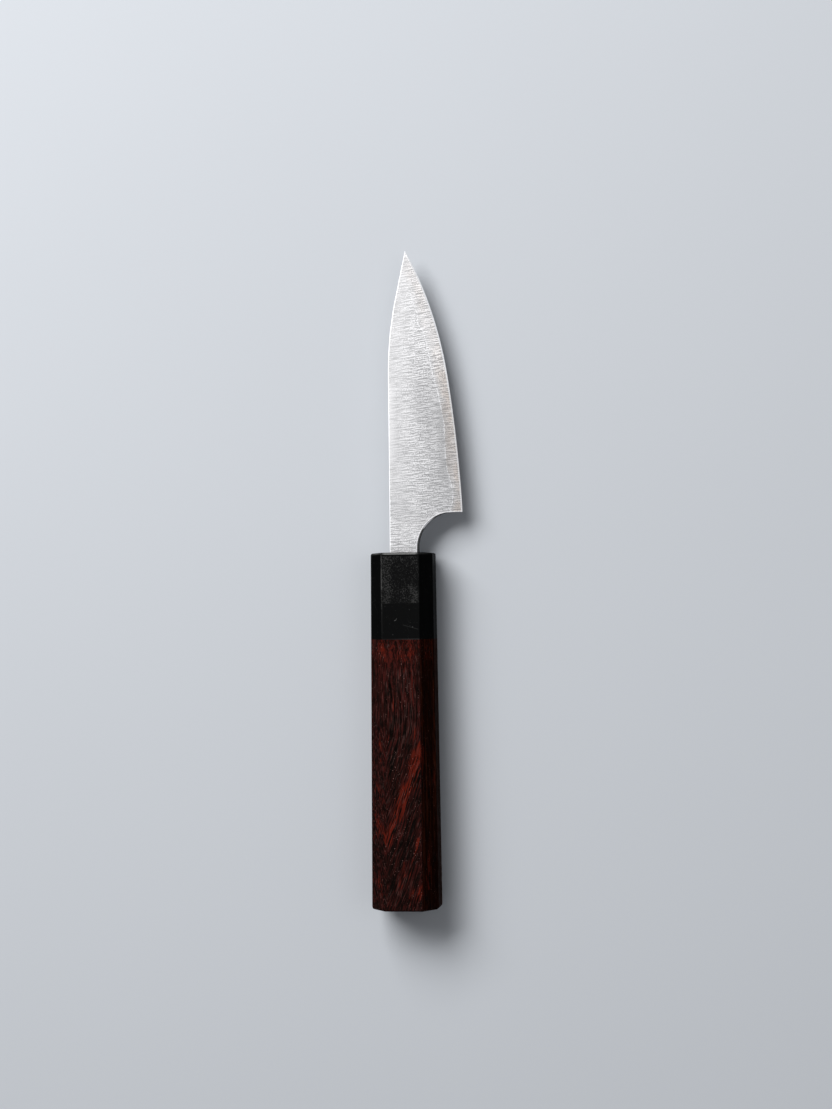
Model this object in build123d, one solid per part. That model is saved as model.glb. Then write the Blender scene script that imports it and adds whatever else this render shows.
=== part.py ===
from build123d import *
import math
import os

# A small laminated paring knife with a hidden stick tang and an eight-sided wooden handle.
# It is built along its own centre line and then laid on its left side, as it rests on a table.
# +Y runs from the butt to the point, +X from the spine to the cutting edge, and +Z from the
# blade's left face to its right face. While it is built, y = 0 is the ferrule's front face.
# All lengths are in millimetres.

# Blade, seen from the side
blade_length = 80.0
blade_height = 22.5
neck_length = 12.2
neck_height = 9.0
spine_offset = 4.0
notch_radius = 10.9

# Blade, seen in section
neck_thickness = 2.8
core_thickness = 0.55
shoulder_thickness = 0.3
bevel_width = 0.5
spine_ease = 0.3

# Tang
neck_seat = 5.0
tang_length = 61.0
tang_height = 6.4
tang_end_height = 3.6
tang_thickness = 1.9
tang_end_thickness = 1.4
tang_root = 1.0

# Handle, an eight-sided taper that the ferrule and the body share
ferrule_length = 26.4
body_length = 82.6
front_height = 19.0
butt_height = 20.5
front_thickness = 15.5
butt_thickness = 18.2
front_corner = 3.75
butt_corner = 4.5
arris_radius = 0.3
front_ease = 0.35
butt_ease = 0.8

# Dowel that joins the ferrule to the body, sawn open for the tang
ferrule_wall = 7.0
dowel_diameter = 10.0
dowel_tail = 8.0
kerf_width = 3.0
kerf_end_room = 2.0
bore_end_room = 0.5
glue_line = 0.05

# Slot in the ferrule's front wall, and the seal at its mouth
slot_play = 0.3
seal_depth = 2.0
seal_recess = 0.15

# How far a cutting shape runs past what it cuts
overrun = 5.0

# Places along the blade from heel (0) to point (1). Beside each: how far the spine has dropped
# and where the cutting edge lies, as shares of the blade's height, and the spine's thickness and
# the thickness behind the bevel, as shares of the neck's and the shoulder's.
station_shares = [
    (0.00, 0.000, 0.9965, 0.82, 1.00),
    (0.15, 0.000, 0.9630, 0.76, 0.98),
    (0.30, 0.000, 0.9140, 0.70, 0.96),
    (0.45, 0.000, 0.8490, 0.63, 0.94),
    (0.58, 0.005, 0.7760, 0.55, 0.92),
    (0.68, 0.030, 0.6970, 0.47, 0.90),
    (0.77, 0.077, 0.6035, 0.38, 0.86),
    (0.85, 0.134, 0.5020, 0.30, 0.82),
    (0.92, 0.187, 0.3965, 0.22, 0.76),
    (0.97, 0.2255, 0.3100, 0.14, 0.66),
    (1.00, 0.2500, 0.2560, 0.05, 0.30),
]
neck_edge_share = 0.9975
neck_shoulder_share = 2.0

# Worked out from the sizes above
spine_x = -spine_offset
notch_x = spine_x + neck_height
neck_x = spine_x + neck_height / 2
heel_y = neck_length
joint_y = -ferrule_length
butt_y = -(ferrule_length + body_length)
neck_end_y = -neck_seat
tang_end_y = -(neck_seat + tang_length)
dowel_front_y = -ferrule_wall
kerf_end_y = tang_end_y - kerf_end_room
dowel_end_y = kerf_end_y - dowel_tail
bore_end_y = dowel_end_y - bore_end_room
bore_radius = dowel_diameter / 2 + glue_line


def limited(size, room):
    """A size that shrinks smoothly where there is little room for it, and never fills it."""
    return size * room / (size + room)


def box_between(low, high):
    """A box from its lowest corner to its highest corner."""
    size = [h - l for l, h in zip(low, high)]
    return Pos(*low) * Box(*size, align=(Align.MIN, Align.MIN, Align.MIN))


def cross_section(points, y):
    """A flat face at the place y, from its corners in x and z."""
    return Face(Wire.make_polygon([Vector(x, y, z) for x, z in points], close=True))


def blade_section(y, drop_share, edge_share, thickness, shoulder):
    """The blade cut across: an eased spine, two ground faces and the bevels of the edge."""
    spine = spine_x + drop_share * blade_height
    edge = spine_x + edge_share * blade_height
    half, behind = thickness / 2, shoulder / 2
    bevel = limited(bevel_width, (edge - spine) / 2)
    ease = limited(spine_ease, min(half, (edge - spine) / 2))
    upper = [(spine, half - ease), (spine + ease, half), (edge - bevel, behind)]
    lower = [(x, -z) for x, z in reversed(upper)]
    return cross_section([*upper, (edge, 0), *lower], y)


def ground_blank():
    """The ground blade with its neck, before the finger notch is cut."""
    neck = (neck_edge_share, neck_thickness, shoulder_thickness * neck_shoulder_share)
    sections = [blade_section(neck_end_y, 0, *neck), blade_section(0, 0, *neck)]
    for along, drop, edge, thick_share, shoulder_share in station_shares:
        y = heel_y + along * blade_length
        thickness, shoulder = neck_thickness * thick_share, shoulder_thickness * shoulder_share
        sections.append(blade_section(y, drop, edge, thickness, shoulder))
    return loft(sections)


def finger_notch():
    """What is cut away between the heel and the ferrule: a round-cornered window."""
    right = spine_x + blade_height + overrun
    end_y = neck_end_y - overrun
    window = box_between((notch_x, end_y, -overrun), (right, heel_y, overrun))
    corner = window.edges().filter_by(Axis.Z).sort_by(Axis.Y)[-2:].sort_by(Axis.X)[0]
    return fillet(corner, notch_radius)


def tang():
    """The tapered stick tang, rooted in the neck."""
    sizes = [
        (neck_end_y + tang_root, tang_height, tang_thickness),
        (neck_end_y, tang_height, tang_thickness),
        (tang_end_y, tang_end_height, tang_end_thickness),
    ]
    sections = []
    for y, height, thickness in sizes:
        low, high, z = neck_x - height / 2, neck_x + height / 2, thickness / 2
        sections.append(cross_section([(low, -z), (high, -z), (high, z), (low, z)], y))
    return loft(sections, ruled=True)


def whole_blade():
    """Blade, neck and tang as one bar of laminated steel."""
    return ground_blank() - finger_notch() + tang()


def layers(blade):
    """The bar parted into its hard core and the two softer claddings forge-welded to it."""
    right_seam = Plane.XY.offset(core_thickness / 2)
    left_seam = Plane.XY.offset(-core_thickness / 2)
    right = split(blade, bisect_by=right_seam, keep=Keep.TOP)
    rest = split(blade, bisect_by=right_seam, keep=Keep.BOTTOM)
    core = split(rest, bisect_by=left_seam, keep=Keep.TOP)
    return core, right, split(rest, bisect_by=left_seam, keep=Keep.BOTTOM)


def handle_size(front, butt, y):
    """A size of the tapered handle at the place y."""
    return front + (butt - front) * y / butt_y


def handle_ring(y, inset):
    """The eight corners of the handle at the place y, drawn in all round by an inset."""
    x = handle_size(front_height, butt_height, y) / 2 - inset
    z = handle_size(front_thickness, butt_thickness, y) / 2 - inset
    leg = handle_size(front_corner, butt_corner, y) - inset * (2 - math.sqrt(2))
    quarter = [(x, z - leg), (x - leg, z)]
    half = quarter + [(-px, pz) for px, pz in reversed(quarter)]
    return [Vector(px, y, pz) for px, pz in half + [(-px, -pz) for px, pz in half]]


def eight_sided(places):
    """A length of the handle, from its places along y and the inset at each: flat facets
    between the rings of corners, with the long arrises softened."""
    rings = [handle_ring(y, inset) for y, inset in places]
    outlines = [rings[0], rings[-1]]
    for ring, following in zip(rings, rings[1:]):
        corners = zip(ring, ring[1:] + ring[:1], following[1:] + following[:1], following)
        outlines.extend(corners)
    block = Solid(Shell([Face(Wire.make_polygon(outline, close=True)) for outline in outlines]))
    half_length = abs(places[0][0] - places[-1][0]) / 2
    return fillet([e for e in block.edges() if e.length > half_length], arris_radius)


def along_handle(radius, front_y, back_y):
    """A round bar on the handle's centre line."""
    bar = Cylinder(radius, front_y - back_y, align=(Align.CENTER, Align.CENTER, Align.MIN))
    return Pos(0, front_y, 0) * Rot(X=90) * bar


def tang_slot():
    """The slot through the ferrule's front wall."""
    play, half = slot_play / 2, (neck_thickness + slot_play) / 2
    return box_between((spine_x - play, dowel_front_y, -half), (notch_x + play, overrun, half))


def kerf():
    """The saw cut that opens the dowel for the tang."""
    half = kerf_width / 2
    return box_between((-dowel_diameter, kerf_end_y, -half), (dowel_diameter, dowel_front_y, half))


def ferrule():
    """The dark collar: slotted in front, bored from behind for the dowel."""
    collar = eight_sided([(0, front_ease), (-front_ease, 0), (joint_y, 0)])
    bore = along_handle(bore_radius, dowel_front_y, joint_y - overrun)
    return collar - bore - tang_slot()


def handle_body():
    """The wooden grip, bored from its front for the dowel, with a softened butt."""
    grip = eight_sided([(joint_y, 0), (butt_y + butt_ease, 0), (butt_y, butt_ease)])
    return grip - along_handle(bore_radius, joint_y + overrun, bore_end_y)


def tang_dowel():
    """The dowel that joins ferrule and body, with two prongs that grip the tang."""
    return along_handle(dowel_diameter / 2, dowel_front_y, dowel_end_y) - kerf()


def fillings(blade):
    """What fills the slot and the saw cut round the tang: resin, and a seal at the mouth."""
    dowel = along_handle(dowel_diameter / 2, dowel_front_y, dowel_end_y)
    channel = tang_slot() + (kerf() & dowel) - blade
    back, front = Plane.XZ.offset(seal_depth), Plane.XZ.offset(seal_recess)
    bedding = split(channel, bisect_by=back, keep=Keep.TOP)
    mouth = split(channel, bisect_by=back, keep=Keep.BOTTOM)
    return bedding, split(mouth, bisect_by=front, keep=Keep.TOP)


def laid_on_its_side(pieces):
    """Turns the pieces so that the handle's left flat is level, and puts the middle of the
    knife's base at the origin."""
    taper = math.degrees(math.atan2((butt_thickness - front_thickness) / 2, -butt_y))
    turned = {name: Rot(X=-taper) * piece for name, piece in pieces.items()}
    box = Compound(list(turned.values())).bounding_box()
    base = Pos(-box.center().X, -box.center().Y, -box.min.Z)
    return {name: base * piece for name, piece in turned.items()}


def main():
    blade = whole_blade()
    core, right_cladding, left_cladding = layers(blade)
    bedding, seal = fillings(blade)
    pieces = {
        "blade_core": core,
        "blade_cladding_right": right_cladding,
        "blade_cladding_left": left_cladding,
        "ferrule": ferrule(),
        "handle_body": handle_body(),
        "tang_dowel": tang_dowel(),
        "tang_bedding": bedding,
        "slot_seal": seal,
    }
    os.makedirs("parts", exist_ok=True)
    for name, piece in laid_on_its_side(pieces).items():
        export_step(piece, f"parts/{name}.step")


main()
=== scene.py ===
"""A small laminated paring knife, dressed for its picture: a ground steel blade with a wavy
cladding line, a black ferrule and a dark rosewood handle with eight sides.

Every piece is shaped in the maker's frame and then laid down as the knife lies on a table.
In the maker's frame +Y runs from the butt to the point, +X from the spine to the cutting edge,
+Z is the blade's right side, and the middle of the ferrule's front face is at zero.
"""

import math
from functools import partial

import bmesh
import bpy
from bpy.props import FloatProperty, FloatVectorProperty, PointerProperty
from bpy.types import Operator, Panel, PropertyGroup
from mathutils import Matrix, Vector


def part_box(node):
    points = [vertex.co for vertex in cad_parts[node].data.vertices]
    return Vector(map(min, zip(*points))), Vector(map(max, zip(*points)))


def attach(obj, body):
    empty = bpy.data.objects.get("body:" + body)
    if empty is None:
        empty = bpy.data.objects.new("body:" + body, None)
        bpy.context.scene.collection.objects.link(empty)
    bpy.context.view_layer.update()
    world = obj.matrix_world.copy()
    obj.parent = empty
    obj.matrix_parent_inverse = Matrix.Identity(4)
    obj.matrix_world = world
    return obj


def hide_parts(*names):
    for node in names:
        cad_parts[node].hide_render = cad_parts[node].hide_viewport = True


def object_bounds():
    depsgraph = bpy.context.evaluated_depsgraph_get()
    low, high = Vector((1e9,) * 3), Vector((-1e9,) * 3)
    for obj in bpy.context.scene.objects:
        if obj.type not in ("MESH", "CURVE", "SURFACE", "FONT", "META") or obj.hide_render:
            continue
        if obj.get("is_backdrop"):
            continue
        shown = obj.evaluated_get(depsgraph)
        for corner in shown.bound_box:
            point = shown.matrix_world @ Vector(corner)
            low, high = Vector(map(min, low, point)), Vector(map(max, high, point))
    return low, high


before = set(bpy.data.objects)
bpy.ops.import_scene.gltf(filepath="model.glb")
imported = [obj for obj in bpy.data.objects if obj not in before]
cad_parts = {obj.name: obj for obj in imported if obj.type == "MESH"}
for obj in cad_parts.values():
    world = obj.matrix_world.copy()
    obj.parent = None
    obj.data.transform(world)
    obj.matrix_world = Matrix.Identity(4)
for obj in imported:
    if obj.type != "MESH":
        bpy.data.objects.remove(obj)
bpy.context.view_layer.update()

bl_info = {
    "name": "Paring Knife",
    "version": (1, 0, 0),
    "blender": (4, 5, 0),
    "location": "3D View > Sidebar > Knife",
    "description": "Builds a laminated paring knife with an eight-sided wooden handle",
    "category": "Add Mesh",
}

MM = 0.001
# Places closer than NEAR count as one, and a ring narrower than HAIR ends a skin
NEAR, HAIR = 0.001 * MM, 0.01 * MM
# How far a cutting shape runs past what it cuts
OVERRUN = 5 * MM
# How far out on the corner facets the handle's ends start to fall away
CROWN_START = 0.45 * MM
# A rim's edge is sharper than this, and a facet is larger than this
RIM_ANGLE, FACET_AREA = 0.4, (2 * MM) ** 2
# Faces that meet at less than this are shaded as one
SMOOTH_ANGLE = math.radians(30)
BORE_SIDES = 64
# Places along the tang where it is cut across, from its end (1) to the neck (0)
TANG_PLACES = (1.0, 0.66, 0.33, 0.0)

# Places along the blade from heel (0) to point (1). Beside each: how far the spine has dropped
# and where the cutting edge lies, as shares of the blade's height, and the spine's thickness and
# the thickness behind the bevel, as shares of the neck's and the shoulder's.
STATION_SHARES = [
    (0.00, 0.000, 0.9965, 0.82, 1.00),
    (0.15, 0.000, 0.9630, 0.76, 0.98),
    (0.30, 0.000, 0.9140, 0.70, 0.96),
    (0.45, 0.000, 0.8490, 0.63, 0.94),
    (0.58, 0.005, 0.7760, 0.55, 0.92),
    (0.68, 0.030, 0.6970, 0.47, 0.90),
    (0.77, 0.077, 0.6035, 0.38, 0.86),
    (0.85, 0.134, 0.5020, 0.30, 0.82),
    (0.92, 0.187, 0.3965, 0.22, 0.76),
    (0.97, 0.2255, 0.3100, 0.14, 0.66),
    (1.00, 0.2500, 0.2560, 0.05, 0.30),
]
NECK_SHARES = (0.0, 0.9975, 1.00, 2.00)

# How far the cladding's wavy line runs from the cutting edge, as shares of the blade's height,
# at shares of the way from heel to point
CLADDING_LINE_SHARES = [
    (0.000, 0.175), (0.055, 0.122), (0.105, 0.129), (0.147, 0.152), (0.172, 0.166),
    (0.230, 0.163), (0.292, 0.152), (0.346, 0.141), (0.380, 0.148), (0.436, 0.160),
    (0.487, 0.175), (0.538, 0.193), (0.593, 0.198), (0.628, 0.199), (0.667, 0.194),
    (0.703, 0.214), (0.719, 0.239), (0.754, 0.215), (0.800, 0.206), (0.850, 0.202),
    (0.900, 0.204), (1.000, 0.210),
]


def length_of(name, millimetres, description):
    """A length that a user can change, in metres inside Blender."""
    return FloatProperty(
        name=name, description=description, default=millimetres * MM, unit="LENGTH", precision=5
    )


def colour_of(name, linear, description):
    """A colour that a user can change."""
    return FloatVectorProperty(
        name=name, description=description, default=linear, size=3, subtype="COLOR", min=0, max=1
    )


class KnifeBladeSizes(PropertyGroup):
    """The blade's sizes."""

    blade_length: length_of("Blade length", 80.0, "From the heel to the point")
    blade_height: length_of("Blade height", 22.5, "From spine to cutting edge at the heel")
    neck_length: length_of("Neck length", 12.2, "From the ferrule to the heel")
    neck_height: length_of("Neck height", 9.0, "From the spine to the finger notch")
    neck_seat: length_of("Neck seat", 5.0, "How far the neck runs into the ferrule")
    spine_offset: length_of("Spine offset", 4.0, "From the handle's middle to the spine")
    notch_radius: length_of("Notch radius", 10.9, "The round corner of the finger notch")
    notch_ease: length_of("Notch ease", 1.0, "How far the finger notch's rims are rounded")
    neck_thickness: length_of("Neck thickness", 2.8, "The spine's thickness at the neck")
    core_thickness: length_of("Core thickness", 0.55, "The hard layer between the claddings")
    shoulder_thickness: length_of("Shoulder thickness", 0.3, "Behind the cutting bevel")
    bevel_width: length_of("Bevel width", 0.5, "The cutting bevel's width")
    spine_ease: length_of("Spine ease", 0.3, "How far the spine's corners are rounded")
    fullness: length_of("Fullness", 0.09, "How full the ground faces are at their middle")
    tang_length: length_of("Tang length", 61.0, "From the neck's end to the tang's end")
    tang_height: length_of("Tang height", 6.4, "The tang's height at the neck")
    tang_end_height: length_of("Tang end height", 3.6, "The tang's height at its end")
    tang_thickness: length_of("Tang thickness", 1.9, "The tang's thickness at the neck")
    tang_end_thickness: length_of("Tang end thickness", 1.4, "The tang's thickness at its end")
    lap: length_of("Lap", 3.0, "How far back from its line the cladding thins out over the core")


class KnifeHandleSizes(PropertyGroup):
    """The handle's sizes."""

    ferrule_length: length_of("Ferrule length", 26.4, "The black collar's length")
    body_length: length_of("Body length", 82.6, "The wooden grip's length")
    front_height: length_of("Front height", 19.0, "The handle's height at the ferrule's front")
    butt_height: length_of("Butt height", 20.5, "The handle's height at the butt")
    front_thickness: length_of("Front thickness", 15.5, "The thickness at the ferrule's front")
    butt_thickness: length_of("Butt thickness", 18.2, "The thickness at the butt")
    front_corner: length_of("Front corner", 3.75, "The corner facets' leg at the front")
    butt_corner: length_of("Butt corner", 4.5, "The corner facets' leg at the butt")
    arris: length_of("Arris", 0.3, "How far the long arrises are rounded")
    front_ease: length_of("Front ease", 0.6, "The ferrule's front rim")
    butt_ease: length_of("Butt ease", 0.8, "The butt's rim")
    joint_ease: length_of("Joint ease", 0.03, "The hairline where ferrule and wood meet")
    ferrule_wall: length_of("Ferrule wall", 7.0, "The wood and horn in front of the dowel")
    bore: length_of("Bore", 10.1, "The bore for the dowel")
    bore_depth: length_of("Bore depth", 50.1, "How far the bore runs into the wood")
    crown: length_of("Crown", 0.32, "How far the two ends fall away at the narrow sides")
    slot_play: length_of("Slot play", 0.3, "Room round the neck in the ferrule's slot")


class KnifeFinishes(PropertyGroup):
    """The colours of the knife's finishes."""

    cladding: colour_of("Cladding", (0.547, 0.541, 0.543), "The soft steel of the blade's sides")
    core: colour_of("Core", (0.522, 0.460, 0.414), "The hard steel along the edge")
    horn: colour_of("Horn", (0.0016, 0.0017, 0.0018), "The black ferrule")
    # Also the colour of the ferrule's painted sheen on its top facet and painted glint along its
    # front rim.
    haze: colour_of("Haze", (0.046, 0.046, 0.045), "Rub marks on the ferrule")
    dark_wood: colour_of("Dark wood", (0.0042, 0.0031, 0.0026), "The wood's dark ground")
    red_wood: colour_of("Red wood", (0.0465, 0.0090, 0.0076), "The wood's red streaks")
    # At a fifth of its strength also the ground of the right facets, painted darker there as
    # shade.
    brown_wood: colour_of("Brown wood", (0.046, 0.0100, 0.0040), "The straight brown stripes")
    flame_wood: colour_of("Flame wood", (0.092, 0.0105, 0.0057), "The wood's orange flames")
    # Also the colour of the painted glints along the wood's grain.
    pore_dust: colour_of("Pore dust", (0.100, 0.052, 0.046), "The polish that fills some pores")
    dowel: colour_of("Dowel", (0.52, 0.38, 0.22), "The pale dowel inside the handle")
    resin: colour_of("Resin", (0.55, 0.45, 0.25), "The resin round the tang")


class KnifeStage(PropertyGroup):
    """The floor, the light and the camera."""

    floor: colour_of("Floor", (0.56, 0.585, 0.62), "The plain pale floor")
    world: colour_of("Surroundings", (0.17, 0.173, 0.18), "The even light from all round")
    mirrored: colour_of("Background", (0.56, 0.575, 0.60), "Seen or mirrored past the floor")
    key_power: FloatProperty(name="Key power", description="The softbox's power", default=19.0)
    key_distance: length_of("Key distance", 1200.0, "From the knife to the softbox")
    key_width: length_of("Key width", 900.0, "The softbox's width")
    key_height: length_of("Key height", 700.0, "The softbox's height")
    card_width: length_of("Card width", 500.0, "The width of the card over the edge")
    card_power: FloatProperty(name="Card power", description="The card's power", default=0.8)
    floor_size: length_of("Floor size", 8000.0, "The floor's width and depth")
    camera_distance: length_of("Camera distance", 900.0, "From the knife to the camera")


# The photograph's frame, and where the middle of the ferrule's front face lies in it, in pixels
FRAME_WIDTH, FRAME_HEIGHT = 832, 1109
FRONT_PIXEL = (403.2, 552.5)
PIXELS_PER_MM = 3.266
CAMERA_ROLL = math.radians(7.7)
KNIFE_LEAN = math.radians(0.70)
KEY_FROM = Vector((-0.40, 0.60, 0.72))
CARD_FROM = Vector((0.55, 0.0, 0.84))
# The camera's sensor width in its own millimetres, and what it can see, in metres
SENSOR_WIDTH, CLIPPING = 36.0, (0.01, 100.0)
# The floor lies this far under the lowest point of the knife
FLOOR_GAP = 0.02 * MM


def smooth_through(points, place):
    """The value at a place on a smooth curve through (place, value) points."""
    last = len(points) - 1
    if place <= points[0][0]:
        return points[0][1]
    if place >= points[last][0]:
        return points[last][1]
    k = max(i for i in range(last) if points[i][0] <= place)

    def slope(i):
        before, after = points[max(i - 1, 0)], points[min(i + 1, last)]
        return (after[1] - before[1]) / (after[0] - before[0])

    (x0, v0), (x1, v1) = points[k], points[k + 1]
    width = x1 - x0
    t = (place - x0) / width
    return (
        (2 * t**3 - 3 * t**2 + 1) * v0
        + (t**3 - 2 * t**2 + t) * width * slope(k)
        + (3 * t**2 - 2 * t**3) * v1
        + (t**3 - t**2) * width * slope(k + 1)
    )


def limited(size, room):
    """A size that shrinks smoothly where there is little room for it, and never fills it."""
    return size * room / (size + room) if room > 0 else 0.0


def mix(a, b, share):
    """The value a share of the way from a to b."""
    return a + (b - a) * share


class BladeForm:
    """The ground blade's shape in the maker's frame."""

    def __init__(self, sizes):
        s = self.sizes = sizes
        self.heel_y = s.neck_length
        self.point_y = s.neck_length + s.blade_length
        self.spine_x = -s.spine_offset
        self.notch_x = self.spine_x + s.neck_height
        self.middle_x = self.spine_x + s.neck_height / 2
        self.turn = Vector((self.notch_x + s.notch_radius, self.heel_y - s.notch_radius))
        rows = [(-s.neck_seat, *NECK_SHARES), (0.0, *NECK_SHARES)]
        rows += [(self.heel_y + row[0] * s.blade_length, *row[1:]) for row in STATION_SHARES]
        self.columns = [[(row[0], row[i]) for row in rows] for i in range(1, 5)]
        self.line = [
            (self.heel_y + along * s.blade_length, away * s.blade_height)
            for along, away in CLADDING_LINE_SHARES
        ]

    def spine(self, y):
        return self.spine_x + smooth_through(self.columns[0], y) * self.sizes.blade_height

    def edge(self, y):
        return self.spine_x + smooth_through(self.columns[1], y) * self.sizes.blade_height

    def bevel(self, y):
        return limited(self.sizes.bevel_width, (self.edge(y) - self.spine(y)) / 2)

    def line_x(self, y):
        """Where the wavy line crosses the blade at the place y."""
        return max(self.edge(y) - smooth_through(self.line, y), self.spine(y))

    def on_notch(self, place):
        """The nearest place on the finger notch's outline, and the way from it into the steel."""
        if place.y < self.turn.y:
            return Vector((self.notch_x, place.y)), Vector((-1, 0))
        if place.x > self.turn.x:
            return Vector((place.x, self.heel_y)), Vector((0, 1))
        away = (place.xy - self.turn).normalized()
        return self.turn + self.sizes.notch_radius * away, away

    def rim(self, end):
        """How far the notch's rounded rim reaches into the face from a place on its outline."""
        room = self.skin(end.x, end.y) - self.seam(end.x, end.y)
        return limited(self.sizes.notch_ease, 2 * room)

    def past_rim(self, place):
        """How far a place on the face is from the rounded rim: less than nothing on the rim."""
        end, inward = self.on_notch(place)
        return (place.xy - end).dot(inward) - self.rim(end)

    def skin(self, x, y):
        """The height of the blade's face above its middle: rounded at the spine, ground a
        trifle full, then bevelled to the edge."""
        s = self.sizes
        spine, edge = self.spine(y), self.edge(y)
        thick = smooth_through(self.columns[2], y) * s.neck_thickness / 2
        thin = smooth_through(self.columns[3], y) * s.shoulder_thickness / 2
        bevel = self.bevel(y)
        ease = limited(s.spine_ease, min(thick, (edge - spine) / 2))
        start, end = spine + ease, edge - bevel
        if x > end:
            return thin * max(edge - x, 0.0) / bevel
        if x < start:
            return thick - ease + math.sqrt(max(ease**2 - (start - x) ** 2, 0.0))
        share = (x - start) / (end - start)
        fullness = s.fullness * ((edge - spine) / s.blade_height) ** 2
        return mix(thick, thin, share) + 4 * fullness * share * (1 - share)

    def seam(self, x, y):
        """The height of the weld between core and cladding above the blade's middle."""
        line = self.line_x(y)
        back = min(max((line - x) / self.sizes.lap, 0.0), 1.0)
        weld = mix(self.skin(line, y), self.sizes.core_thickness / 2, back)
        return min(weld, self.skin(x, y))

    def rows(self):
        """Lines across the blade from its spine to its outline on the edge's side: from the
        neck's end round the finger notch and up the edge to the point. With each comes the
        way into the steel where it ends on the notch."""
        s = self.sizes
        neck_steps, arc_steps, heel_steps, edge_steps = 6, 30, 8, 180
        closer_to_point = 1.25
        ends = []
        for i in range(neck_steps):
            y = mix(-s.neck_seat, self.turn.y, i / neck_steps)
            ends.append((Vector((self.notch_x, y)), Vector((-1, 0))))
        for i in range(arc_steps):
            a = math.pi * (1 - i / arc_steps / 2)
            away = Vector((math.cos(a), math.sin(a)))
            ends.append((self.turn + s.notch_radius * away, away))
        corner = Vector((self.turn.x, self.heel_y))
        heel = Vector((self.edge(self.heel_y), self.heel_y))
        for i in range(heel_steps):
            ends.append((corner.lerp(heel, i / heel_steps), Vector((0, 1))))
        notch_end = len(ends)
        for i in range(edge_steps + 1):
            y = mix(self.heel_y, self.point_y, 1 - (1 - i / edge_steps) ** closer_to_point)
            ends.append((Vector((self.edge(y), y)), None))
        fan = s.notch_radius / 2
        rows = []
        for i, (right, inward) in enumerate(ends):
            if right.y <= self.turn.y:
                left_y = right.y
            elif i < notch_end:
                share = (i - neck_steps) / (notch_end - neck_steps)
                left_y = mix(self.turn.y, self.heel_y + fan, share)
            else:
                left_y = right.y + fan * (self.point_y - right.y) / s.blade_length
            rows.append((Vector((self.spine(left_y), left_y)), right, inward))
        return rows

    def crossing(self, left, right):
        """How far along a row, as a share, it meets the wavy line: 1 where it ends before."""
        if self.line_x(right.y) >= right.x:
            return 1.0
        halvings, least = 30, 1e-6
        low, high = 0.0, 1.0
        for _ in range(halvings):
            middle = (low + high) / 2
            place = left.lerp(right, middle)
            if place.x < self.line_x(place.y):
                low = middle
            else:
                high = middle
        return high if high > least else 0.0

    def tang_rows(self):
        """The tang's low side, high side and half thickness, from its end to the neck."""
        s = self.sizes
        rows = []
        for along in TANG_PLACES:
            y = -s.neck_seat - along * s.tang_length
            half_height = mix(s.tang_height, s.tang_end_height, along) / 2
            half_thickness = mix(s.tang_thickness, s.tang_end_thickness, along) / 2
            low, high = self.middle_x - half_height, self.middle_x + half_height
            rows.append((Vector((low, y)), Vector((high, y)), half_thickness))
        return rows


def at_height(place, height):
    """A place at another height."""
    return Vector((place.x, place.y, height))


def on(surface, place):
    """The point above a place on one of the blade's surfaces."""
    return at_height(place, surface(place.x, place.y))


def both_sides(half):
    """A closed ring from its upper half, which is repeated underneath."""
    return half + [Vector((p.x, p.y, -p.z)) for p in reversed(half[:-1])] + [half[0].copy()]


def steps(count, law=lambda share: share):
    """Shares from 0 to 1, spaced by a law."""
    return [law(i / count) for i in range(count + 1)]


def closing_in(share):
    """Spacing that is close at the end."""
    return math.sin(share * math.pi / 2)


def opening_out(share):
    """Spacing that is close at the start."""
    return 1 - math.cos(share * math.pi / 2)


ROUND_STEPS, FACE_STEPS, SEAM_STEPS, BAND_STEPS = 4, 30, 8, 16


def cladding_ring(form, left, right, inward):
    """The right cladding cut across along a row: spine wall, rounded corner, ground face, the
    notch's rounded rim or the wavy line, and back along the weld."""
    s = form.sizes
    share = form.crossing(left, right)
    end = left.lerp(right, share)
    rim = form.rim(end) if inward is not None and share == 1.0 else 0.0
    foot = end + rim * inward if rim > 0 else end
    width = foot.x - left.x
    ease = min(s.spine_ease, width / 3)
    ring = [on(form.seam, left)]
    for t in steps(ROUND_STEPS, opening_out):
        place = left.lerp(foot, t * ease / width) if width > 0 else left.copy()
        ring.append(on(form.skin, place))
    start = place
    for t in steps(FACE_STEPS, closing_in)[1:]:
        place = start.lerp(foot, t)
        ring.append(on(form.skin, place))
    top = ring[-1].z
    for i in range(1, ROUND_STEPS + 1):
        a = math.pi / 2 * i / ROUND_STEPS
        place = foot.lerp(end, math.sin(a))
        ring.append(at_height(place, top - rim * (1 - math.cos(a))))
    return ring + [on(form.seam, end.lerp(left, t)) for t in steps(SEAM_STEPS)]


def cladding_tang_ring(form, low, high, half):
    """The tang's cladding cut across, with as many points as the blade's."""
    weld = form.sizes.core_thickness / 2
    ring = [at_height(low, weld)] + [at_height(low, half)] * ROUND_STEPS
    ring += [at_height(low.lerp(high, t), half) for t in steps(FACE_STEPS, closing_in)]
    ring += [at_height(high, half)] * ROUND_STEPS
    return ring + [at_height(high.lerp(low, t), weld) for t in steps(SEAM_STEPS)]


def core_ring(form, left, right, _inward):
    """The core cut across along a row: the weld from the spine to the wavy line, the bare band,
    the bevel and the edge, and the same underneath."""
    share = form.crossing(left, right)
    line = left.lerp(right, share)
    top = form.seam if share == 1.0 else form.skin
    half = [on(form.seam, left.lerp(line, t)) for t in steps(SEAM_STEPS)]
    shoulder_x = form.edge(right.y) - form.bevel(right.y)
    shoulder = right
    if shoulder_x < right.x and right.x > left.x:
        shoulder = left.lerp(right, (shoulder_x - left.x) / (right.x - left.x))
    if shoulder.x < line.x:
        shoulder = line
    half += [on(top, line.lerp(shoulder, t)) for t in steps(BAND_STEPS, opening_out)]
    return both_sides([*half, on(top, right), at_height(right, 0.0)])


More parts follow.
